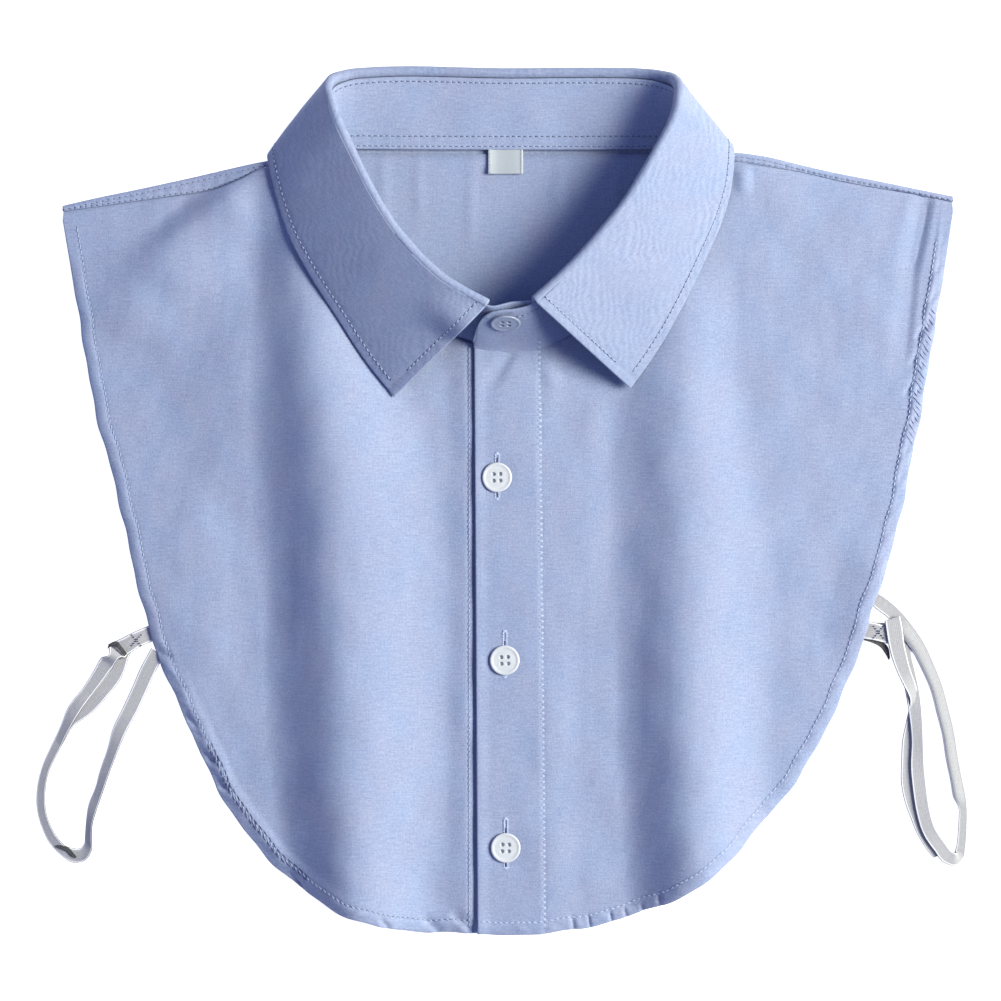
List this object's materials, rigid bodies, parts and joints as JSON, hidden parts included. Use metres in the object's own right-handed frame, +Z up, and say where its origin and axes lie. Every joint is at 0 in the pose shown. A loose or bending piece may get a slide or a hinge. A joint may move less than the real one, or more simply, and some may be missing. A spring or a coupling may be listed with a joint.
{
  "type": "detachable shirt collar",
  "caption": "False shirt front of light blue cloth with a turned-down pointed collar, a buttoned placket, short front and back panels and two side elastics, laid out flat.",
  "frame": {"origin": "on the surface that the garment lies on, below the middle of its outline without the side elastics", "axes": "+X across the garment towards the front that laps over, +Y from the hem towards the collar, +Z up off the surface"},
  "size_m": [0.3897, 0.3645, 0.0315],
  "materials": {
    "shirt_cloth": "light blue fine oxford cotton, matt",
    "collar_cloth": "the same cotton over interlining, pressed smooth",
    "button_white": "white polyester button, soft gloss",
    "elastic_white": "white ribbed knitted elastic tape",
    "label_white": "bare woven satin label"
  },
  "bodies": {
    "root": {"back_panel": "shirt_cloth", "front_panel_left": "shirt_cloth", "front_panel_right": "shirt_cloth", "collar_stand": "collar_cloth", "collar_leaf": "collar_cloth", "neck_label": "label_white", "button_1": "button_white", "button_2": "button_white", "button_3": "button_white", "button_collar": "button_white", "elastic_strap_left": "elastic_white", "elastic_strap_right": "elastic_white"}
  },
  "joints": []
}
